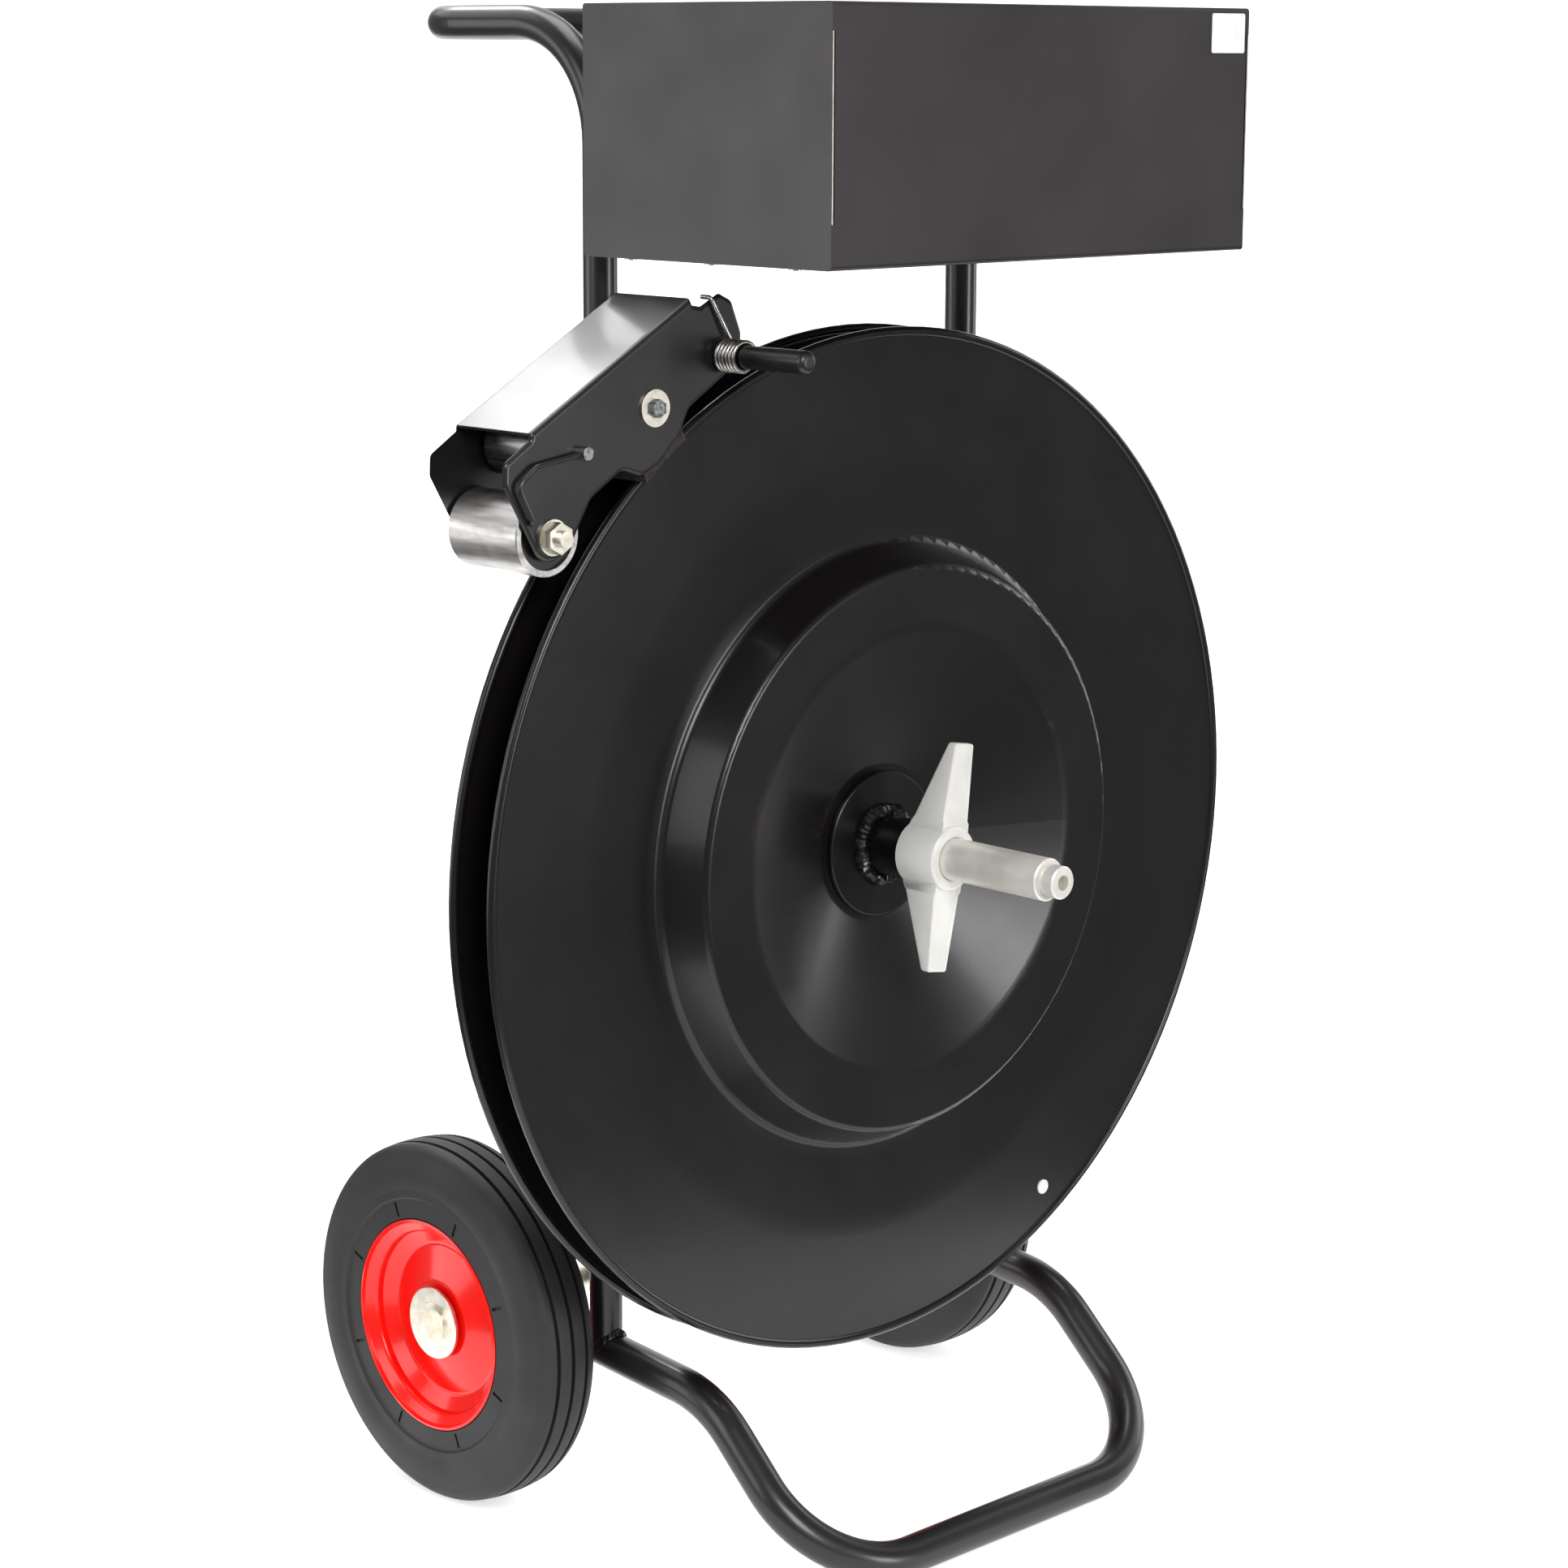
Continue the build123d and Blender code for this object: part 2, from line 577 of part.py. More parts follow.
# ================================================================ wing nut
nut_tilt = math.radians(NUT_TILT)
nut_side = Plane(
    origin=(0, 0, REEL_Z),
    x_dir=(math.sin(nut_tilt), 0, math.cos(nut_tilt)),
    z_dir=(math.cos(nut_tilt), 0, -math.sin(nut_tilt)),
)
with BuildPart() as wing_nut:
    with BuildSketch(nut_side):
        with BuildLine():
            face_line = Line((-NUT_HALF_SPAN, -NUT_FRONT_Y - 3), (NUT_HALF_SPAN, -NUT_FRONT_Y - 3))
            Polyline(
                face_line @ 1,
                (NUT_HALF_SPAN, -NUT_FRONT_Y - 3 - NUT_TIP_T),
                (NUT_BOSS_R - 3, -NUT_BACK_Y + 1.5),
                (3 - NUT_BOSS_R, -NUT_BACK_Y + 1.5),
                (-NUT_HALF_SPAN, -NUT_FRONT_Y - 3 - NUT_TIP_T),
                face_line @ 0,
            )
        make_face()
    extrude(amount=NUT_HALF_W, both=True)
    tip_edges = wing_nut.edges().filter_by(Axis.Y)
    fillet(tip_edges, NUT_HALF_W - 2.5)
    add(disc(across(NUT_BACK_Y), NUT_BOSS_R, NUT_BACK_Y - NUT_FRONT_Y))
    add(disc(across(NUT_BACK_Y), NUT_INSERT_R, NUT_BACK_Y - NUT_FRONT_Y - 3), mode=Mode.SUBTRACT)
    add(disc(across(NUT_BACK_Y), SPINDLE_R + 2 * FIT, NUT_BACK_Y - NUT_FRONT_Y), mode=Mode.SUBTRACT)
wing_nut.part.label = "wing_nut"
export_step(wing_nut.part, "parts/wing_nut.step")

with BuildPart() as wing_nut_insert:
    add(disc(across(NUT_BACK_Y), NUT_INSERT_R, NUT_BACK_Y - NUT_FRONT_Y - 3, SPINDLE_R + FIT))
wing_nut_insert.part.label = "wing_nut_insert"
export_step(wing_nut_insert.part, "parts/wing_nut_insert.step")


# ================================================================ brake head
# side plate of the channel: corner places (s, p) and corner radii
PLATE = [
    (WEB_START_S, WEB_P, 0.5),
    (WEB_END_S, WEB_P, 1.0),
    (WEB_END_S + 2, -40, 1.0),
    (177, -39, 5.0),
    (184, -28, 5.0),
    (184, 34, 14.5),
    (160, 34, 8.0),
    (131, 18, 12.0),
    (102, 17, 8.0),
    (91, 29, 5.0),
    (76, 31, 12.0),
    (52, 25, 20.0),
    (37, 15, 10.0),
    (-8, 14, 16.0),
    (-23, 0, 10.0),
    (-26, -23, 6.0),
    (-19, -33, 4.0),
    (-2, -34, 1.5),
    (WEB_START_S, -38, 0.5),
]


def head_disc(spot, y, radius, thickness, bore=0.0):
    """Round plate in the brake head's frame, centred on a spot (s, p)."""
    place = head(y)
    centre = place.from_local_coords(spot)
    return disc(Plane(origin=centre, x_dir=place.x_dir, z_dir=place.z_dir), radius, thickness, bore)


def head_hexagon(spot, y, flats, thickness, bore=0.0):
    """Hexagon in the brake head's frame, centred on a spot (s, p)."""
    place = head(y)
    centre = place.from_local_coords(spot)
    return hexagon(Plane(origin=centre, x_dir=place.x_dir, z_dir=place.z_dir), flats, thickness, bore)


PIVOT = (0.0, 0.0)
with BuildPart() as head_channel:
    with BuildSketch(head(HEAD_FAR_Y)):
        with BuildLine():
            FilletPolyline(*[(s, p) for s, p, r in PLATE], radius=[r for s, p, r in PLATE], close=True)
        make_face()
    extrude(amount=HEAD_FAR_Y - HEAD_NEAR_Y)
    web_edges = head_channel.edges().filter_by(GeomType.LINE).filter_by(lambda e: e.length > WEB_END_S - 10)
    fillet(web_edges, FOLD_R)
    with BuildSketch(head(HEAD_IN_FAR)):
        with BuildLine():
            Polyline(
                (-60, -60),
                (WEB_START_S, -60),
                (WEB_START_S, WEB_P + HEAD_SHEET),
                (WEB_END_S, WEB_P + HEAD_SHEET),
                (WEB_END_S, -60),
                (220, -60),
                (220, 60),
                (-60, 60),
                close=True,
            )
        make_face()
    extrude(amount=HEAD_INSIDE, mode=Mode.SUBTRACT)
    with BuildSketch(head(HEAD_FAR_Y)):
        with BuildLine():
            Polyline((-60, -60), (WEB_START_S, -60), (WEB_START_S, EAR_ROOT_P), (-60, EAR_ROOT_P), close=True)
        make_face()
    extrude(amount=HEAD_SHEET, mode=Mode.SUBTRACT)
    for spot, bore_r in (
        (PIVOT, PIN_BORE_R),
        (UPPER_ROLLER, UPPER_AXLE_R),
        (LOWER_ROLLER, LOWER_AXLE_R),
        (BRAKE_BOLT, BRAKE_BOLT_R),
    ):
        add(head_disc(spot, HEAD_FAR_Y, bore_r, HEAD_FAR_Y - HEAD_NEAR_Y), mode=Mode.SUBTRACT)
head_channel.part.label = "head_channel"
export_step(head_channel.part, "parts/head_channel.step")

with BuildPart() as pivot_bushes:
    add(head_disc(PIVOT, HEAD_FAR_Y, PIVOT_R + 5, -BUSH_FLANGE, PIVOT_R + FIT))
    add(head_disc(PIVOT, HEAD_FAR_Y, PIN_BORE_R, 5.0, PIVOT_R + FIT))
    add(head_disc(PIVOT, HEAD_NEAR_Y, PIVOT_R + 5, BUSH_FLANGE, PIVOT_R + FIT))
    add(head_disc(PIVOT, HEAD_NEAR_Y, PIN_BORE_R, -5.0, PIVOT_R + FIT))
pivot_bushes.part.label = "pivot_bushes"
export_step(pivot_bushes.part, "parts/pivot_bushes.step")

boss_front_y = HEAD_FAR_Y + BUSH_FLANGE + 4.0
with BuildPart() as pivot_boss:
    add(head_disc(PIVOT, UPRIGHT_Y, PIVOT_R + 5, UPRIGHT_Y - boss_front_y))
    add(disc(Plane(origin=(-FRAME_X, UPRIGHT_Y, PIVOT_Z - 50)), UPRIGHT_R, 100), mode=Mode.SUBTRACT)
    add(head_disc(PIVOT, UPRIGHT_Y, PIVOT_R, UPRIGHT_Y - boss_front_y), mode=Mode.SUBTRACT)
pivot_boss.part.label = "pivot_boss"
export_step(pivot_boss.part, "parts/pivot_boss.step")

with BuildPart() as pivot_washer:
    add(head_disc(PIVOT, boss_front_y, PIVOT_R + 4, 4.0 - GAP, PIVOT_R))
pivot_washer.part.label = "pivot_washer"
export_step(pivot_washer.part, "parts/pivot_washer.step")

with BuildPart() as pivot_pin:
    pin_back_y = UPRIGHT_Y - UPRIGHT_R - 1
    add(head_disc(PIVOT, pin_back_y, PIVOT_R, pin_back_y - PIVOT_TIP_Y - 4))
pivot_pin.part.label = "pivot_pin"
export_step(pivot_pin.part, "parts/pivot_pin.step")

with BuildPart() as pivot_sleeve:
    add(head_disc(PIVOT, SLEEVE_BACK_Y, SLEEVE_R, SLEEVE_BACK_Y - PIVOT_TIP_Y))
    fillet(circles(pivot_sleeve, SLEEVE_R).sort_by(Axis.Y)[0], 4.5)
    add(head_disc(PIVOT, SLEEVE_BACK_Y, PIVOT_R, SLEEVE_BACK_Y - PIVOT_TIP_Y - 4), mode=Mode.SUBTRACT)
pivot_sleeve.part.label = "pivot_sleeve"
export_step(pivot_sleeve.part, "parts/pivot_sleeve.step")

# friction block between the side plates; its lower face follows the flanges' rims
with BuildPart() as brake_block:
    with BuildSketch(head(HEAD_IN_FAR)):
        with Locations(((PAD_S[0] + PAD_S[1]) / 2, PAD_TOP_P + 35)):
            Rectangle(PAD_S[1] - PAD_S[0], 70)
    extrude(amount=HEAD_INSIDE)
    add(disc(across(HEAD_IN_FAR), FLANGE_R + GAP, HEAD_INSIDE), mode=Mode.SUBTRACT)
    add(head_disc(BRAKE_BOLT, HEAD_IN_FAR, BRAKE_BOLT_R + FIT, HEAD_INSIDE), mode=Mode.SUBTRACT)
brake_block.part.label = "brake_block"
export_step(brake_block.part, "parts/brake_block.step")

with BuildPart() as brake_bolt:
    add(head_hexagon(BRAKE_BOLT, HEAD_NEAR_Y - BRAKE_WASHER_T, BRAKE_BOLT_FLATS, 4.0))
    add(head_disc(BRAKE_BOLT, HEAD_NEAR_Y - BRAKE_WASHER_T, BRAKE_BOLT_R, HEAD_NEAR_Y - HEAD_FAR_Y - 10.0))
brake_bolt.part.label = "brake_bolt"
export_step(brake_bolt.part, "parts/brake_bolt.step")

with BuildPart() as brake_washer:
    add(head_disc(BRAKE_BOLT, HEAD_NEAR_Y, BRAKE_WASHER_R, BRAKE_WASHER_T, BRAKE_BOLT_R + FIT))
brake_washer.part.label = "brake_washer"
export_step(brake_washer.part, "parts/brake_washer.step")

with BuildPart() as brake_nut:
    add(head_hexagon(BRAKE_BOLT, HEAD_FAR_Y, BRAKE_BOLT_FLATS, -5.0, BRAKE_BOLT_R))
brake_nut.part.label = "brake_nut"
export_step(brake_nut.part, "parts/brake_nut.step")


def roller(spot, outer_r, wall, axle_r, name):
    """Tube roller with a nylon plug in each end that runs on the axle."""
    far_y = HEAD_IN_FAR - ROLLER_GAP
    length = HEAD_INSIDE - 2 * ROLLER_GAP
    with BuildPart() as tube:
        add(head_disc(spot, far_y, outer_r, length, outer_r - wall))
        chamfer(circles(tube, outer_r), 0.6)
    tube.part.label = name
    export_step(tube.part, f"parts/{name}.step")
    with BuildPart() as ends:
        for end_y, inward in ((far_y, 1), (far_y - length, -1)):
            plug_face = end_y - inward * PLUG_RECESS
            add(head_disc(spot, plug_face, outer_r - wall, inward * PLUG_L, axle_r + FIT))
            add(head_disc(spot, plug_face, axle_r + 3, -inward * (PLUG_RECESS + ROLLER_GAP - GAP), axle_r + FIT))
    ends.part.label = f"{name}_ends"
    export_step(ends.part, f"parts/{name}_ends.step")


roller(UPPER_ROLLER, UPPER_ROLLER_R, 3.0, UPPER_AXLE_R, "upper_roller")
roller(LOWER_ROLLER, LOWER_ROLLER_R, 4.0, LOWER_AXLE_R, "lower_roller")

clip_y = HEAD_NEAR_Y - CLIP_GAP
clip_route = [head(clip_y).from_local_coords(spot) for spot in CLIP_ROUTE]
clip_route.append(head(HEAD_NEAR_Y).from_local_coords(CLIP_ROUTE[-1]))
with BuildPart() as clip_wire:
    add(bent_bar(clip_route, CLIP_BENDS, CLIP_WIRE_R).part)
clip_wire.part.label = "clip_wire"
export_step(clip_wire.part, "parts/clip_wire.step")

with BuildPart() as upper_axle:
    add(head_disc(UPPER_ROLLER, HEAD_FAR_Y, UPPER_AXLE_R + 3, -3.0))
    add(head_disc(UPPER_ROLLER, HEAD_FAR_Y, UPPER_AXLE_R, HEAD_FAR_Y - clip_y + CLIP_GAP))
    add(clip_wire.part, mode=Mode.SUBTRACT)
upper_axle.part.label = "upper_axle"
export_step(upper_axle.part, "parts/upper_axle.step")

with BuildPart() as lower_axle:
    add(head_hexagon(LOWER_ROLLER, HEAD_FAR_Y, LOWER_AXLE_FLATS, -6.4))
    add(head_disc(LOWER_ROLLER, HEAD_FAR_Y, LOWER_AXLE_R, HEAD_FAR_Y - HEAD_NEAR_Y + AXLE_STUB))
lower_axle.part.label = "lower_axle"
export_step(lower_axle.part, "parts/lower_axle.step")

with BuildPart() as lower_axle_washer:
    add(head_disc(LOWER_ROLLER, HEAD_NEAR_Y, 11.0, 2.0, LOWER_AXLE_R))
lower_axle_washer.part.label = "lower_axle_washer"
export_step(lower_axle_washer.part, "parts/lower_axle_washer.step")

with BuildPart() as lower_axle_nut:
    add(head_hexagon(LOWER_ROLLER, HEAD_NEAR_Y - 2.0, LOWER_AXLE_FLATS, 7.0, LOWER_AXLE_R))
lower_axle_nut.part.label = "lower_axle_nut"
export_step(lower_axle_nut.part, "parts/lower_axle_nut.step")

# spring coiled on the pivot pin, with a leg hooked over the plate's ear
spring_start = Plane(
    origin=(PIVOT_X, SPRING_BACK_Y, PIVOT_Z), x_dir=-head(0).x_dir, z_dir=(0, -1, 0)
)
coil = spring_start * Helix(
    pitch=SPRING_PITCH, height=SPRING_TURNS * SPRING_PITCH, radius=SPRING_R, lefthand=True
)
with BuildPart() as torsion_spring:
    with BuildSketch(Plane(origin=coil @ 0, z_dir=coil % 0)):
        Circle(SPRING_WIRE_R)
    sweep(path=coil, is_frenet=True)
    leg_end = coil @ 0 - (coil % 0) * SPRING_LEG
    leg = [coil @ 0, leg_end, leg_end + Vector(0, SPRING_HOOK, 0)]
    add(bent_bar(leg, [SPRING_BEND], SPRING_WIRE_R).part)
    add(disc(Plane(origin=coil @ 1, z_dir=coil % 1), SPRING_WIRE_R, SPRING_TAIL))
torsion_spring.part.label = "torsion_spring"
export_step(torsion_spring.part, "parts/torsion_spring.step")

# ================================================================ toolbox
# front, floor and back in one bent sheet, with the top edges folded inwards
sheet_middle = BOX_SHEET / 2
tray_route = [
    (BOX_FRONT_Y + sheet_middle + BOX_HEM, BOX_Z + BOX_H - sheet_middle),
    (BOX_FRONT_Y + sheet_middle, BOX_Z + BOX_H - sheet_middle),
    (BOX_FRONT_Y + sheet_middle, BOX_Z + sheet_middle),
    (BOX_BACK_Y - sheet_middle, BOX_Z + sheet_middle),
    (BOX_BACK_Y - sheet_middle, BOX_Z + BOX_H - sheet_middle),
    (BOX_BACK_Y - sheet_middle - BOX_HEM, BOX_Z + BOX_H - sheet_middle),
]
with BuildPart() as toolbox_tray:
    with BuildSketch(Plane.YZ.offset(BOX_SHEET - BOX_X)):
        with BuildLine():
            FilletPolyline(*tray_route, radius=[1.8, 2.5, 2.5, 1.8])
        trace(line_width=BOX_SHEET)
    extrude(amount=2 * (BOX_X - BOX_SHEET))
    with BuildSketch(across(BOX_FRONT_Y + BOX_HEM / 2, 0, BOX_Z + (SEAM_LOW + SEAM_HIGH) / 2)):
        with Locations((BOX_X, 0), (-BOX_X, 0)):
            Rectangle(2 * (BOX_SHEET + SEAM_GAP), SEAM_HIGH - SEAM_LOW)
    extrude(amount=BOX_HEM, mode=Mode.SUBTRACT)
    for side_name, side in SIDES:
        for bolt_z in BOX_BOLT_Z:
            bolt_plane = across(BOX_BACK_Y, side * FRAME_X, bolt_z)
            add(disc(bolt_plane, BOX_BOLT_R + FIT, BOX_SHEET), mode=Mode.SUBTRACT)
toolbox_tray.part.label = "toolbox_tray"
export_step(toolbox_tray.part, "parts/toolbox_tray.step")


def toolbox_side(side_name, side):
    """End panel with flanges that lie inside the tray and a folded top edge."""
    with BuildPart() as panel:
        with BuildSketch(outward(side * (BOX_X - BOX_SHEET), side, (BOX_FRONT_Y + BOX_BACK_Y) / 2, BOX_Z + BOX_H / 2)):
            RectangleRounded(BOX_D, BOX_H, 2.5)
        extrude(amount=BOX_SHEET)
        inner_d = BOX_D - 2 * BOX_SHEET - 2 * BEND_ROOM
        flange_z = BOX_Z + BOX_SHEET
        flange_h = BOX_H - 2 * BOX_SHEET - 2 * BEND_ROOM
        for middle_y in (BOX_FRONT_Y + 1.5 * BOX_SHEET, BOX_BACK_Y - 1.5 * BOX_SHEET):
            with BuildSketch(outward(side * BOX_X, side, middle_y, BOX_Z + BOX_H / 2)):
                Rectangle(BOX_SHEET, flange_h)
            extrude(amount=-BOX_FLANGE)
        with BuildSketch(outward(side * BOX_X, side, (BOX_FRONT_Y + BOX_BACK_Y) / 2, flange_z + sheet_middle)):
            Rectangle(inner_d, BOX_SHEET)
        extrude(amount=-BOX_FLANGE)
        hem_d = BOX_D - 2 * BOX_HEM - 4 * BOX_SHEET
        with BuildSketch(outward(side * BOX_X, side, (BOX_FRONT_Y + BOX_BACK_Y) / 2, BOX_Z + BOX_H - sheet_middle)):
            Rectangle(hem_d, BOX_SHEET)
        extrude(amount=-BOX_HEM)
    panel.part.label = f"toolbox_{side_name}_side"
    export_step(panel.part, f"parts/toolbox_{side_name}_side.step")


for box_side_name, box_side in SIDES:
    toolbox_side(box_side_name, box_side)

with BuildPart() as toolbox_rivets:
    for side_name, side in SIDES:
        with BuildSketch(Plane(origin=(side * (BOX_X - BOX_FLANGE / 2), (BOX_FRONT_Y + BOX_BACK_Y) / 2, BOX_Z))):
            with GridLocations(1, BOX_D / 3, 1, 3):
                Circle(4.0)
        extrude(amount=-1.2)
toolbox_rivets.part.label = "toolbox_rivets"
export_step(toolbox_rivets.part, "parts/toolbox_rivets.step")

with BuildPart() as toolbox_bolts:
    for side_name, side in SIDES:
        for bolt_z in BOX_BOLT_Z:
            head_plane = across(BOX_BACK_Y - BOX_SHEET, side * FRAME_X, bolt_z)
            add(disc(head_plane, 2 * BOX_BOLT_R, 3.5))
            add(disc(head_plane, BOX_BOLT_R, -BOX_SHEET - RIVET_NUT_L))
toolbox_bolts.part.label = "toolbox_bolts"
export_step(toolbox_bolts.part, "parts/toolbox_bolts.step")

with BuildPart() as toolbox_nuts:
    for side_name, side in SIDES:
        for bolt_z in BOX_BOLT_Z:
            nut_plane = across(BOX_BACK_Y, side * FRAME_X, bolt_z)
            add(disc(nut_plane, RIVET_NUT_R, -RIVET_NUT_L, BOX_BOLT_R))
toolbox_nuts.part.label = "toolbox_nuts"
export_step(toolbox_nuts.part, "parts/toolbox_nuts.step")

with BuildPart() as blank_label:
    with BuildSketch(across(BOX_FRONT_Y, BOX_X - BOX_SHEET - LABEL_W / 2 - 3, BOX_Z + BOX_H - LABEL_H / 2 - 3.5)):
        RectangleRounded(LABEL_W, LABEL_H, 1.5)
    extrude(amount=LABEL_T)
blank_label.part.label = "blank_label"
export_step(blank_label.part, "parts/blank_label.step")
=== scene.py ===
import bpy
import bmesh
import json
import math
from mathutils import Matrix, Vector, noise


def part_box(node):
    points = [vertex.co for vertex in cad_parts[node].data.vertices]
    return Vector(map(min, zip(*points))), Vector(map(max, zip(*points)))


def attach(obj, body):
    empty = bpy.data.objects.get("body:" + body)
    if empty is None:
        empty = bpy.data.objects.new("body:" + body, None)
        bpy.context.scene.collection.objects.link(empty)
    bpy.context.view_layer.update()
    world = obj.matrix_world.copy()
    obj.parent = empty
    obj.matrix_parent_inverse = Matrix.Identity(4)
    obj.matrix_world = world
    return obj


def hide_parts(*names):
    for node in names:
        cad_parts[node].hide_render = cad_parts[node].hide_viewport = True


# Strapping coil dispenser cart, in metres, in the frame of its CAD model:
# +Z is up, the reel faces -Y and the wheel axle runs along X.

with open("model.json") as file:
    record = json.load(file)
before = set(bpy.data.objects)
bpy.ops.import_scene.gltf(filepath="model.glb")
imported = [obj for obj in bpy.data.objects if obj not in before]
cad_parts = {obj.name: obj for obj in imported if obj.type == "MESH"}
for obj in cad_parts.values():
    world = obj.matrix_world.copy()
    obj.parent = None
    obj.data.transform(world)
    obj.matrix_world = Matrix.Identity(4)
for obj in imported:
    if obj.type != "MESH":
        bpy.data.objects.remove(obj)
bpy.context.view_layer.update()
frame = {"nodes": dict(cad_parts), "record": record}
nodes = frame["nodes"]


# ---------------------------------------------------------------- small tools
def mm(value):
    """Millimetres to metres."""
    return value / 1000.0


def per_mm(size):
    """Pattern scale on object coordinates for a feature of this size in millimetres."""
    return 1000.0 / size


def linear(code):
    """sRGB hex to linear RGBA."""
    channels = [int(code[i:i + 2], 16) / 255 for i in (1, 3, 5)]
    return [c / 12.92 if c <= 0.04045 else ((c + 0.055) / 1.055) ** 2.4 for c in channels] + [1.0]


def add_node(tree, kind, inputs=None, **settings):
    """Adds a shader node, applies its settings, and sets or links its inputs."""
    made = tree.nodes.new("ShaderNode" + kind)
    for key, value in settings.items():
        setattr(made, key, value)
    for key, value in (inputs or {}).items():
        if isinstance(value, bpy.types.NodeSocket):
            tree.links.new(value, made.inputs[key])
        else:
            made.inputs[key].default_value = value
    return made


def new_material(name, shader_inputs):
    """Material with one principled shader; gives back the material, its tree and the shader."""
    made = bpy.data.materials.new(name)
    made.use_nodes = True
    tree = made.node_tree
    tree.nodes.clear()
    shader = add_node(tree, "BsdfPrincipled", shader_inputs)
    add_node(tree, "OutputMaterial", {"Surface": shader.outputs[0]})
    return made, tree, shader


def noise_on_object(tree, size, detail, scale=(1.0, 1.0, 1.0)):
    """Noise on object coordinates with features of this size in millimetres, squeezed by a scale per axis."""
    place = add_node(tree, "TexCoord")
    turned = add_node(tree, "Mapping", {"Vector": place.outputs["Object"], "Scale": scale})
    return add_node(tree, "TexNoise", {"Vector": turned.outputs[0], "Scale": per_mm(size), "Detail": detail})


def patches(tree, shader, low, high, size, detail=3.0, scale=(1.0, 1.0, 1.0)):
    """Lets the base colour wander between two colours in soft patches of this size in millimetres."""
    cloud = noise_on_object(tree, size, detail, scale)
    spread = add_node(tree, "MapRange", {0: cloud.outputs[0], 1: 0.35, 2: 0.65})
    tint = add_node(
        tree, "Mix", {0: spread.outputs[0], 6: linear(low), 7: linear(high)}, data_type="RGBA"
    )
    tree.links.new(tint.outputs[2], shader.inputs["Base Color"])


def uneven_gloss(tree, shader, low, high, size):
    """Lets the roughness wander between two values in patches of this size in millimetres."""
    cloud = noise_on_object(tree, size, 4.0)
    spread = add_node(tree, "MapRange", {0: cloud.outputs[0], 1: 0.3, 2: 0.7, 3: low, 4: high})
    tree.links.new(spread.outputs[0], shader.inputs["Roughness"])


def relief(tree, shader, size, depth, stretch=(1, 1, 1)):
    """Surface relief of this grain size and depth, both in millimetres; stretch lengthens the grain."""
    grain = noise_on_object(tree, size, 2.0, [1.0 / s for s in stretch])
    bump = add_node(tree, "Bump", {"Height": grain.outputs[0], "Distance": mm(depth), "Strength": 1.0})
    tree.links.new(bump.outputs[0], shader.inputs["Normal"])


# ---------------------------------------------------------------- materials
def black_powder_coat():
    """Semi-gloss polyester powder coat: a warm black with fine orange peel and slightly uneven gloss."""
    made, tree, shader = new_material(
        "black_powder_coat", {"IOR": 1.5, "Coat Weight": 0.15, "Coat Roughness": 0.1}
    )
    patches(tree, shader, "#121011", "#191617", 140)
    uneven_gloss(tree, shader, 0.30, 0.38, 60)
    relief(tree, shader, 1.6, 0.012)
    return made


def black_stove_enamel():
    """Glossier enamel on the pressed flanges: deep black whose soft waves stretch the highlights."""
    made, tree, shader = new_material(
        "black_stove_enamel",
        {"IOR": 1.5, "Specular IOR Level": 0.38, "Coat Weight": 0.1, "Coat Roughness": 0.12},
    )
    patches(tree, shader, "#0d0b0c", "#141112", 180)
    uneven_gloss(tree, shader, 0.25, 0.31, 80)
    relief(tree, shader, 2.4, 0.010)
    return made


def toolbox_coat():
    """Satin powder coat on the toolbox: a purplish charcoal, softer and lighter than the frame's black."""
    made, tree, shader = new_material("toolbox_coat", {"IOR": 1.5})
    patches(tree, shader, "#211d1f", "#292426", 120)
    uneven_gloss(tree, shader, 0.36, 0.42, 50)
    relief(tree, shader, 1.4, 0.02)
    return made


def red_stove_enamel():
    """Bright red enamel on the rims: clean, glossy, with broad pale reflections."""
    made, tree, shader = new_material(
        "red_stove_enamel",
        {"IOR": 1.5, "Specular IOR Level": 0.35, "Coat Weight": 0.2, "Coat Roughness": 0.06},
    )
    patches(tree, shader, "#e60f06", "#f6180d", 60)
    uneven_gloss(tree, shader, 0.16, 0.24, 30)
    relief(tree, shader, 2.0, 0.010)
    return made


def moulded_rubber():
    """Solid tyre rubber: dull dark grey with a dusty bloom and a fine moulded grain."""
    made, tree, shader = new_material("moulded_rubber", {"IOR": 1.52, "Specular IOR Level": 0.35})
    patches(tree, shader, "#202021", "#282829", 70)
    uneven_gloss(tree, shader, 0.52, 0.64, 40)
    relief(tree, shader, 0.7, 0.06)
    return made


def zinc_plate():
    """Clear-passivated zinc plate: pale, slightly warm metal, cloudy in spots of a few millimetres."""
    made, tree, shader = new_material("zinc_plate", {"Metallic": 1.0})
    patches(tree, shader, "#d8d3c4", "#efebe0", 9)
    uneven_gloss(tree, shader, 0.28, 0.4, 4)
    relief(tree, shader, 0.8, 0.02)
    return made


def drawn_spring_wire():
    """Oiled spring wire: darker steel with short bright drag lines."""
    made, tree, shader = new_material("drawn_spring_wire", {"Metallic": 1.0})
    patches(tree, shader, "#8b8883", "#bcb8b2", 3)
    uneven_gloss(tree, shader, 0.22, 0.38, 2)
    relief(tree, shader, 0.5, 0.02)
    return made


def drawn_steel_tube():
    """Bare drawn tube of the upper roller: streaks along its length, light and dark."""
    made, tree, shader = new_material("drawn_steel_tube", {"Metallic": 1.0})
    patches(tree, shader, "#55575b", "#a9abad", 2.2, detail=5.0, scale=(1, 0.06, 1))
    uneven_gloss(tree, shader, 0.28, 0.42, 8)
    relief(tree, shader, 0.6, 0.03, stretch=(1, 20, 1))
    return made


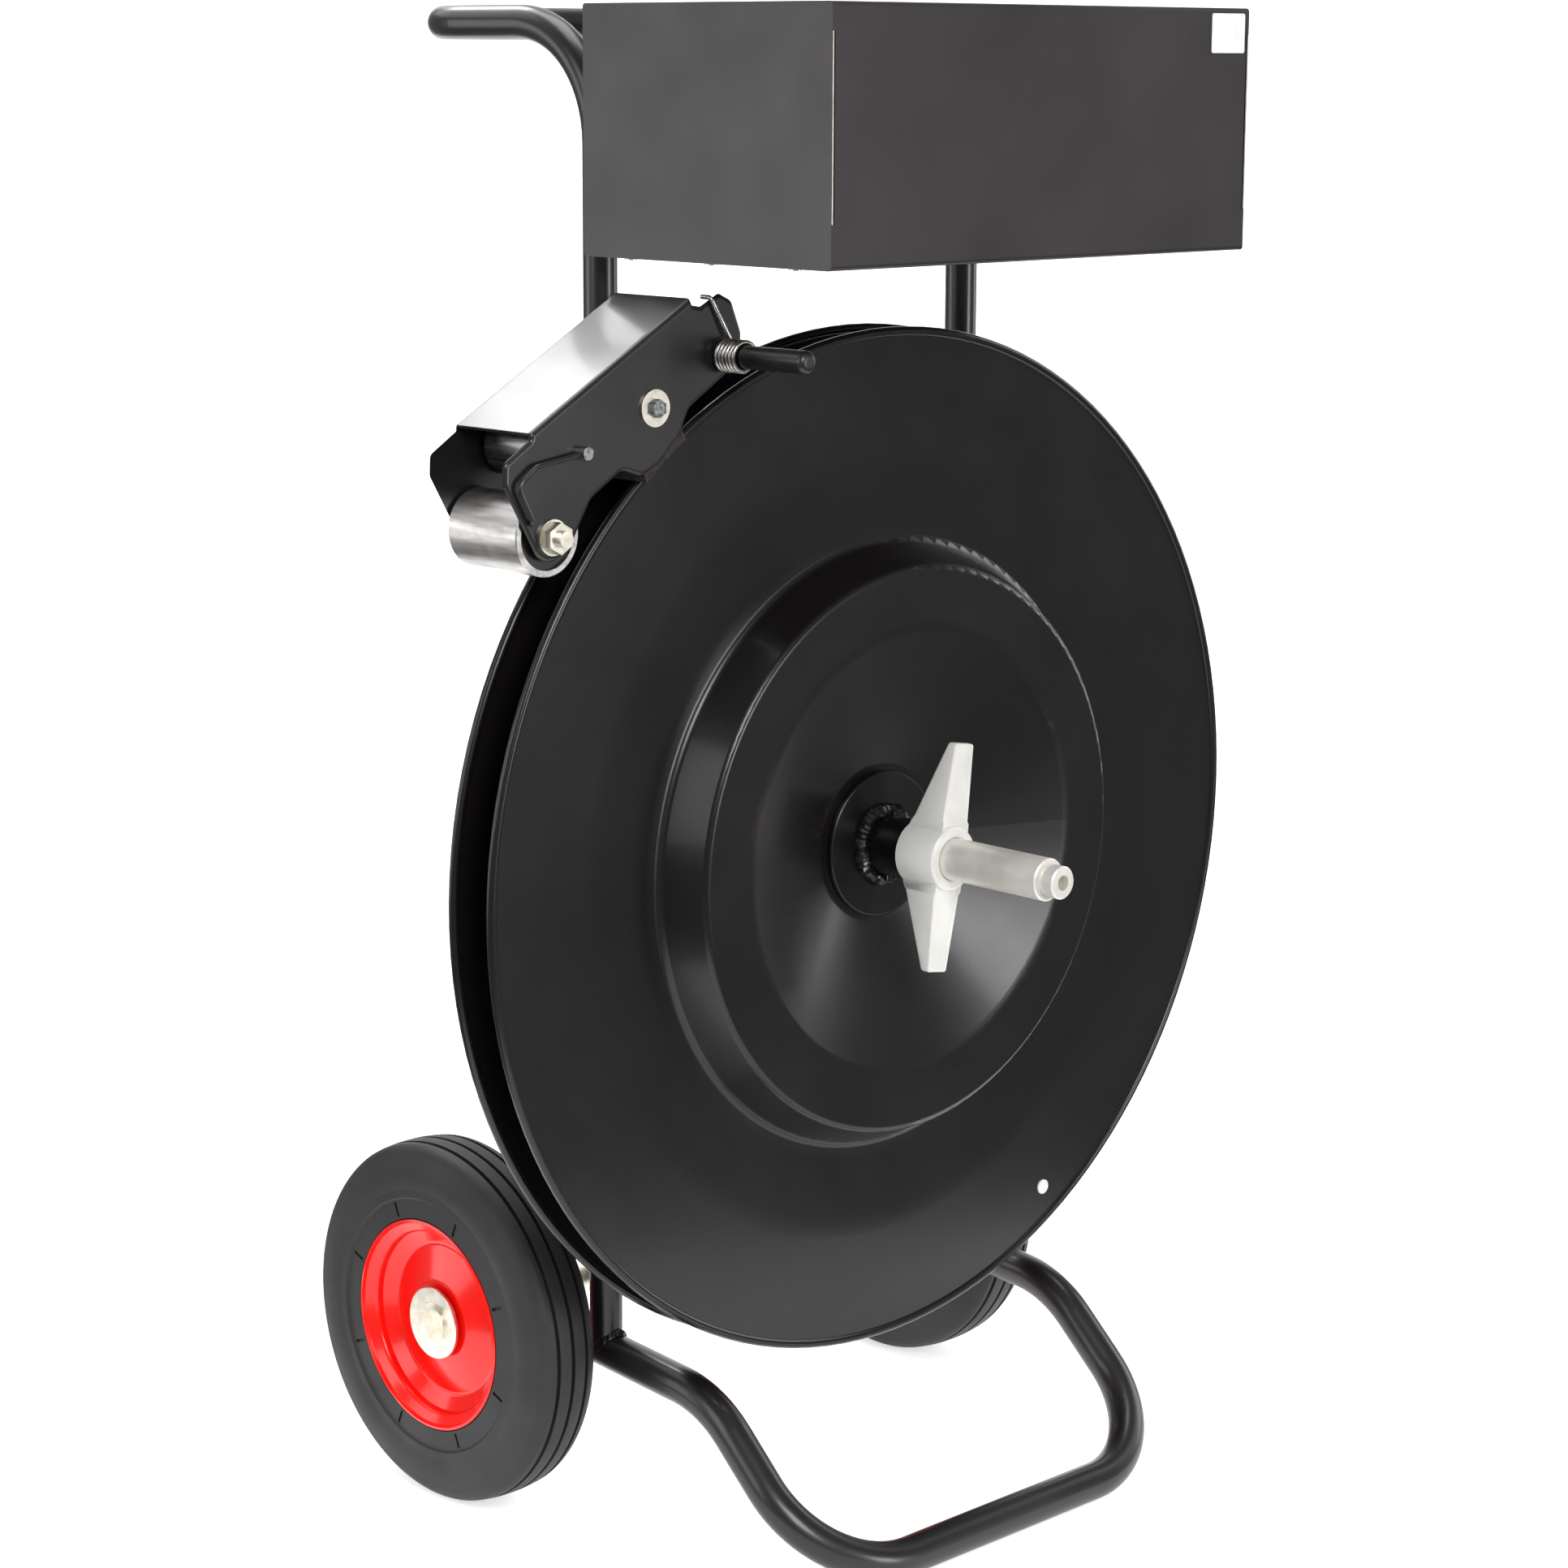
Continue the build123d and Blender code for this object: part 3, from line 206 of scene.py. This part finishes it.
def satin_aluminium():
    """Satin turned aluminium of the lower roller: pale, soft streaks, almost white in the light."""
    made, tree, shader = new_material("satin_aluminium", {"Metallic": 1.0})
    patches(tree, shader, "#9b9897", "#d3d1cf", 5, detail=4.0, scale=(1, 0.08, 1))
    uneven_gloss(tree, shader, 0.32, 0.44, 10)
    relief(tree, shader, 0.8, 0.02, stretch=(1, 14, 1))
    return made


def turned_steel_painted_reflection():
    """Turned spindle steel with its base colour painted pale and slightly warm, near white, as a painted
    reflection of bright light: fine rings and a satin sheen.
    """
    made, tree, shader = new_material("turned_steel_painted_reflection", {"Metallic": 0.35})
    # Painted reflection: the near-white base colour stands in for the bright light the spindle would mirror.
    patches(tree, shader, "#d8d4cc", "#efece6", 30)
    uneven_gloss(tree, shader, 0.38, 0.46, 20)
    relief(tree, shader, 0.7, 0.02, stretch=(12, 1, 12))
    return made


def ground_bearing_steel():
    """Ground bearing steel: bright and even with a very fine grain."""
    made, tree, shader = new_material("ground_bearing_steel", {"Metallic": 1.0})
    patches(tree, shader, "#b2b3b5", "#c9cacb", 3)
    uneven_gloss(tree, shader, 0.14, 0.22, 4)
    return made


def sintered_bronze():
    """Sintered bronze bush: dull gold-brown with tiny pores."""
    made, tree, shader = new_material("sintered_bronze", {"Metallic": 1.0})
    patches(tree, shader, "#8a6c40", "#b8945c", 1.5)
    uneven_gloss(tree, shader, 0.4, 0.55, 3)
    relief(tree, shader, 0.4, 0.03)
    return made


def white_nylon():
    """Moulded natural nylon: milky off-white that light enters a little, faintly rippled by the mould."""
    made, tree, shader = new_material(
        "white_nylon", {"IOR": 1.53, "Subsurface Weight": 0.12, "Subsurface Scale": mm(3)}
    )
    patches(tree, shader, "#dad9d5", "#e5e4e0", 26)
    uneven_gloss(tree, shader, 0.34, 0.46, 12)
    relief(tree, shader, 1.5, 0.02)
    return made


def black_vinyl():
    """Dipped black vinyl of the pin's sleeve and the tube plugs: soft sheen, slightly rippled."""
    made, tree, shader = new_material("black_vinyl", {"IOR": 1.54})
    patches(tree, shader, "#121112", "#1d1c1d", 20)
    uneven_gloss(tree, shader, 0.3, 0.42, 10)
    relief(tree, shader, 2.5, 0.04)
    return made


def friction_lining():
    """Pressed friction lining of the brake block: matt dark brown-grey with coarse fibres."""
    made, tree, shader = new_material("friction_lining", {"IOR": 1.5, "Specular IOR Level": 0.3})
    patches(tree, shader, "#1f1c1b", "#3b3532", 3, detail=6.0)
    uneven_gloss(tree, shader, 0.75, 0.92, 5)
    relief(tree, shader, 1.2, 0.12)
    return made


def label_film():
    """Blank white film label: matt, faintly cloudy from its adhesive."""
    made, tree, shader = new_material("label_film", {"IOR": 1.48})
    patches(tree, shader, "#ededeb", "#f8f8f7", 9)
    uneven_gloss(tree, shader, 0.42, 0.55, 7)
    return made


finishes = {
    "black_paint": black_powder_coat(),
    "flange_enamel": black_stove_enamel(),
    "toolbox_coat": toolbox_coat(),
    "tyre_rubber": moulded_rubber(),
    "red_paint": red_stove_enamel(),
    "zinc_plate": zinc_plate(),
    "spring_steel": drawn_spring_wire(),
    "roller_steel": drawn_steel_tube(),
    "satin_aluminium": satin_aluminium(),
    "spindle_steel": turned_steel_painted_reflection(),
    "bearing_steel": ground_bearing_steel(),
    "white_nylon": white_nylon(),
    "black_plastic": black_vinyl(),
    "sintered_bronze": sintered_bronze(),
    "brake_lining": friction_lining(),
    "label_film": label_film(),
}
own_finish = {
    "front_flange": "flange_enamel",
    "rear_flange": "flange_enamel",
    "front_hub": "flange_enamel",
    "rear_hub": "flange_enamel",
    "toolbox_tray": "toolbox_coat",
    "toolbox_left_side": "toolbox_coat",
    "toolbox_right_side": "toolbox_coat",
    "clip_wire": "black_paint",
    "brake_bolt": "roller_steel",
    "upper_axle": "roller_steel",
}
for part in frame["record"]["subparts"]:
    finish = own_finish.get(part["node"], part["material_slot"])
    for place in nodes[part["node"]].material_slots:
        place.material = finishes[finish]


# ---------------------------------------------------------------- pieces modelled here
CREASE = math.radians(32)
UP = Vector((0, 0, 1))
ALONG_X = Vector((1, 0, 0))
ALONG_Y = Vector((0, 1, 0))


def finished_piece(name, mesh, body, finish, replaced=()):
    """Makes a bmesh a named piece with its finish, riding on a body."""
    bmesh.ops.recalc_face_normals(mesh, faces=mesh.faces[:])
    for face in mesh.faces:
        face.smooth = True
    for edge in mesh.edges:
        edge.smooth = len(edge.link_faces) != 2 or edge.calc_face_angle() < CREASE
    data = bpy.data.meshes.new(name)
    mesh.to_mesh(data)
    mesh.free()
    data.materials.append(finishes[finish])
    piece = bpy.data.objects.new(name, data)
    bpy.context.scene.collection.objects.link(piece)
    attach(piece, body)
    if replaced:
        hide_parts(*replaced)
    return piece


def ring_of(mesh, outline, centre, axis, out, steps):
    """Spins a closed outline of (distance from the axis, distance along it) points into a ring."""
    corners = [mesh.verts.new(centre + out * r + axis * a) for r, a in outline]
    edges = [mesh.edges.new((a, b)) for a, b in zip(corners, corners[1:] + corners[:1])]
    bmesh.ops.spin(
        mesh,
        geom=corners + edges,
        cent=centre,
        axis=axis,
        angle=math.tau,
        steps=steps,
        use_merge=True,
        use_duplicate=False,
    )
    bmesh.ops.remove_doubles(mesh, verts=mesh.verts[:], dist=mm(0.01))


def weld_bead(name, body, centre, axis, radius, bead, pipe=0.0, finish="black_paint"):
    """Rippled weld round a collar; over a pipe that runs along Y, the bead follows the pipe's crown."""
    out = axis.orthogonal().normalized()
    sides = 10
    section = []
    for step in range(sides):
        turn = math.tau * step / sides
        section.append((radius + bead * math.cos(turn), bead * math.sin(turn)))
    mesh = bmesh.new()
    ring_of(mesh, section, centre, axis, out, 96)
    side = axis.cross(out)
    for vert in mesh.verts:
        arm = vert.co - centre
        flat = arm - axis * arm.dot(axis)
        angle = math.atan2(flat.dot(side), flat.dot(out))
        spine = centre + flat.normalized() * radius
        drops = round(math.tau * radius / mm(3.2))
        ripple = 1.0 + 0.12 * math.sin(angle * drops)
        ripple += 0.35 * noise.noise(vert.co * per_mm(7))
        vert.co = spine + (vert.co - spine) * ripple
        if pipe:
            reach = min(abs(flat.x), pipe * 0.98)
            vert.co += axis * (math.sqrt(pipe * pipe - reach * reach) - pipe)
    return finished_piece(name, mesh, body, finish)


def join_into(mesh, other):
    """Adds another bmesh to this one and frees it."""
    carrier = bpy.data.meshes.new("carrier")
    other.to_mesh(carrier)
    other.free()
    mesh.from_mesh(carrier)
    bpy.data.meshes.remove(carrier)


NUT_TILT = math.radians(9.0)


def nut_wing(back_y, front_y, root, tip):
    """One wing from root to tip along +Z: its back slopes forward and its front is a shallow trough."""
    wing = bmesh.new()
    bmesh.ops.create_cube(wing, size=1.0)
    lengthwise = [e for e in wing.edges if abs(e.verts[0].co.z - e.verts[1].co.z) > 0.5]
    bmesh.ops.subdivide_edges(wing, edges=lengthwise, cuts=6, use_grid_fill=True)
    for vert in wing.verts:
        along = vert.co.z + 0.5
        vert.co.x = math.copysign(mm(12.5) - mm(3.8) * along, vert.co.x)
        vert.co.y = back_y - mm(1.5) - mm(23) * along if vert.co.y > 0 else front_y + mm(2.5)
        vert.co.z = root + (tip - root) * along
    front = [f for f in wing.faces if all(v.co.y < front_y + mm(2.6) for v in f.verts)]
    bmesh.ops.inset_region(wing, faces=front, thickness=mm(2.6), depth=0.0, use_even_offset=True)
    bmesh.ops.translate(wing, verts=list({v for f in front for v in f.verts}), vec=(0, mm(2.0), 0))
    rounded = [
        e for e in wing.edges
        if len(e.link_faces) == 2 and e.calc_face_angle() > 1.0 and min(v.co.z for v in e.verts) >= root
        and not all(v.co.y > front_y + mm(3) and abs(v.co.x) < mm(7) for v in e.verts)
        and not all(v.co.z < root + mm(0.1) for v in e.verts)
    ]
    bmesh.ops.bevel(wing, geom=rounded, offset=mm(1.9), segments=4, profile=0.5, affect="EDGES", material=-1)
    return wing


def wing_nut_body():
    """Two trough-fronted wings on a round boss, tilted as the nut was left."""
    low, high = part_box("wing_nut")
    spindle_low, spindle_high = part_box("spindle")
    reel_z = (spindle_low.z + spindle_high.z) / 2
    half_span = (high.z - low.z) / 2
    boss_r = mm(21.5)
    bore_r = mm(14.15)
    mesh = bmesh.new()
    outline = [
        (bore_r, high.y),
        (boss_r - mm(1.5), high.y),
        (boss_r, high.y - mm(1.5)),
        (boss_r, low.y + mm(4)),
        (boss_r - mm(0.6), low.y + mm(1.6)),
        (boss_r - mm(2.4), low.y),
        (bore_r + mm(1), low.y),
        (bore_r, low.y + mm(1)),
    ]
    ring_of(mesh, outline, Vector((0, 0, 0)), ALONG_Y, UP, 72)
    for turn in (0.0, math.pi):
        wing = nut_wing(high.y, low.y, bore_r + mm(2), half_span)
        bmesh.ops.rotate(wing, cent=(0, 0, 0), matrix=Matrix.Rotation(turn, 3, "Y"), verts=wing.verts[:])
        join_into(mesh, wing)
    tilt = Matrix.Translation((0, 0, reel_z)) @ Matrix.Rotation(NUT_TILT, 4, "Y")
    bmesh.ops.transform(mesh, matrix=tilt, verts=mesh.verts[:])
    finished_piece("wing_nut_body", mesh, "wing_nut", "white_nylon", ("wing_nut",))


def welds():
    """Weld beads where tubes, bars and collars meet."""
    low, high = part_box("front_hub")
    collar_foot = Vector((0, high.y - mm(22.5), (low.z + high.z) / 2))
    weld_bead("front_hub_weld", "front_flange", collar_foot, ALONG_Y, mm(22.5), mm(5.2), finish="flange_enamel")
    for name in ("upper_crossbar", "lower_crossbar"):
        low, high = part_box(name)
        centre_y = (low.y + high.y) / 2
        centre_z = (low.z + high.z) / 2
        for side_name, x in (("left", low.x + mm(6)), ("right", high.x - mm(6))):
            end = Vector((x, centre_y, centre_z))
            weld_bead(f"{name}_{side_name}_weld", "frame", end, ALONG_X, mm(11.4), mm(2.2))
    low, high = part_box("handle_loop")
    tube_r = mm(11)
    for side_name, x in (("left", low.x + tube_r), ("right", high.x - tube_r)):
        foot = Vector((x, low.y + tube_r, low.z + mm(7)))
        weld_bead(f"{side_name}_upright_weld", "frame", foot, UP, mm(11.6), mm(2.4), pipe=mm(12.5))
    low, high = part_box("pivot_boss")
    boss = Vector(((low.x + high.x) / 2, high.y - mm(6), (low.z + high.z) / 2))
    weld_bead("pivot_boss_weld", "frame", boss, ALONG_Y, mm(11.4), mm(2.2))
    low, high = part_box("bearing_housing")
    plate_back_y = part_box("carrier_plate")[1].y
    housing = Vector((0, plate_back_y, (low.z + high.z) / 2))
    weld_bead("housing_weld", "frame", housing, ALONG_Y, mm(32.6), mm(2.6))


def seam_painted_highlights():
    """Painted highlight: pale strips on the toolbox's end panels that stand in for the thin bright line of
    light showing through the corner seams.
    """
    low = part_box("toolbox_left_side")[0]
    seam_middle_z = low.z + mm(82.5)
    sheet_middle_x = low.x + mm(0.75)
    strip = (mm(1.1), mm(0.3), mm(111))
    # Painted highlight: each pale strip stands in for light showing through a corner seam.
    for name, x in (("left_seam_painted_highlight", sheet_middle_x), ("right_seam_painted_highlight", -sheet_middle_x)):
        mesh = bmesh.new()
        bmesh.ops.create_cube(mesh, size=1.0)
        bmesh.ops.scale(mesh, vec=strip, verts=mesh.verts[:])
        bmesh.ops.translate(mesh, vec=(x, low.y, seam_middle_z), verts=mesh.verts[:])
        finished_piece(name, mesh, "frame", "zinc_plate")


wing_nut_body()
welds()
seam_painted_highlights()


# ---------------------------------------------------------------- studio
VIEW_YAW = math.radians(44.05)


def studio_floor():
    """Plain near-white sheet under the cart, wider towards the back, that curves up into the backdrop."""
    ahead = Vector((math.sin(VIEW_YAW), math.cos(VIEW_YAW), 0.0))
    level = Vector((math.cos(VIEW_YAW), -math.sin(VIEW_YAW), 0.0))
    bend_r = 1.6
    bend_steps = 12
    wall_at = 3.2
    bend_at = wall_at - bend_r
    profile = [(-0.9, 0.0), (0.3, 0.0), (bend_at, 0.0)]
    for step in range(1, bend_steps + 1):
        angle = math.pi / 2 * step / bend_steps
        profile.append((bend_at + bend_r * math.sin(angle), bend_r - bend_r * math.cos(angle)))
    profile.append((wall_at, 4.2))
    mesh = bmesh.new()
    line = [mesh.verts.new(ahead * along + Vector((0, 0, up))) for along, up in profile]
    edges = [mesh.edges.new(pair) for pair in zip(line, line[1:])]
    swept = bmesh.ops.extrude_edge_only(mesh, edges=edges)
    far_side = [v for v in swept["geom"] if isinstance(v, bmesh.types.BMVert)]
    camera_back = 2.4
    for vert in mesh.verts:
        half_width = 0.26 * (camera_back + vert.co.dot(ahead)) + 0.02 * vert.co.z
        vert.co += level * (half_width if vert in far_side else -half_width)
    for face in mesh.faces:
        face.smooth = True
    data = bpy.data.meshes.new("studio_floor")
    mesh.to_mesh(data)
    mesh.free()
    floor = bpy.data.objects.new("studio_floor", data)
    bpy.context.scene.collection.objects.link(floor)
    paint = new_material(
        "studio_paint",
        {
            "Base Color": linear("#f4f4f3"),
            "Roughness": 0.9,
            "Specular IOR Level": 0.1,
            "Emission Color": linear("#ffffff"),
            "Emission Strength": 0.6,
        },
    )[0]
    data.materials.append(paint)


def softbox(name, place, aim, size, power):
    """Square soft light at a place, turned towards a point."""
    data = bpy.data.lights.new(name, "AREA")
    data.shape = "RECTANGLE"
    data.size, data.size_y = size
    data.energy = power
    lamp = bpy.data.objects.new(name, data)
    lamp.location = place
    lamp.rotation_euler = (Vector(aim) - Vector(place)).to_track_quat("-Z", "Y").to_euler()
    bpy.context.scene.collection.objects.link(lamp)


def studio_camera():
    """Camera a little above the reel's middle, off its left front corner, with a long lens."""
    yaw = VIEW_YAW
    pitch = math.radians(-11.46)
    roll = math.radians(0.26)
    ahead = Vector((math.sin(yaw) * math.cos(pitch), math.cos(yaw) * math.cos(pitch), math.sin(pitch)))
    level = Vector((math.cos(yaw), -math.sin(yaw), 0.0))
    upright = level.cross(ahead)
    right = level * math.cos(roll) + upright * math.sin(roll)
    top = upright * math.cos(roll) - level * math.sin(roll)
    data = bpy.data.cameras.new("studio_camera")
    data.sensor_width = 36.0
    data.lens = 82.63
    data.clip_end = 50.0
    camera = bpy.data.objects.new("studio_camera", data)
    turn = Matrix((right, top, -ahead)).transposed().to_4x4()
    camera.matrix_world = Matrix.Translation((-1.6826, -1.7230, 0.9724)) @ turn
    bpy.context.scene.collection.objects.link(camera)
    bpy.context.scene.camera = camera


studio_floor()
middle = (0.0, 0.0, 0.5)
softbox("key_softbox", (-1.6, -3.4, 2.6), middle, (1.6, 1.6), 105)
softbox("left_softbox", (-3.2, 0.2, 1.6), middle, (1.2, 2.0), 26)
softbox("top_softbox", (0.2, 0.4, 3.4), middle, (2.0, 2.0), 63)
softbox("right_softbox", (3.2, -0.8, 1.4), middle, (1.0, 2.2), 25)
softbox("dish_softbox", (0.96, -2.95, 0.65), (0.0, -0.1, 0.45), (0.7, 1.0), 26)
softbox("web_softbox", (0.26, 2.0, 2.8), (-0.24, -0.06, 0.76), (0.8, 0.8), 28)
softbox("box_end_softbox", (-2.0, 1.7, 0.7), (-0.19, -0.1, 0.92), (1.2, 1.4), 14)
softbox("back_softbox", (-0.6, 1.9, 2.3), (0.0, -0.2, 0.45), (2.0, 1.4), 13)
world = bpy.data.worlds.new("studio_world")
world.use_nodes = True
world.node_tree.nodes["Background"].inputs["Color"].default_value = (1.0, 1.0, 1.0, 1.0)
world.node_tree.nodes["Background"].inputs["Strength"].default_value = 0.25
bpy.context.scene.world = world
bpy.context.scene.view_settings.view_transform = "Standard"
studio_camera()
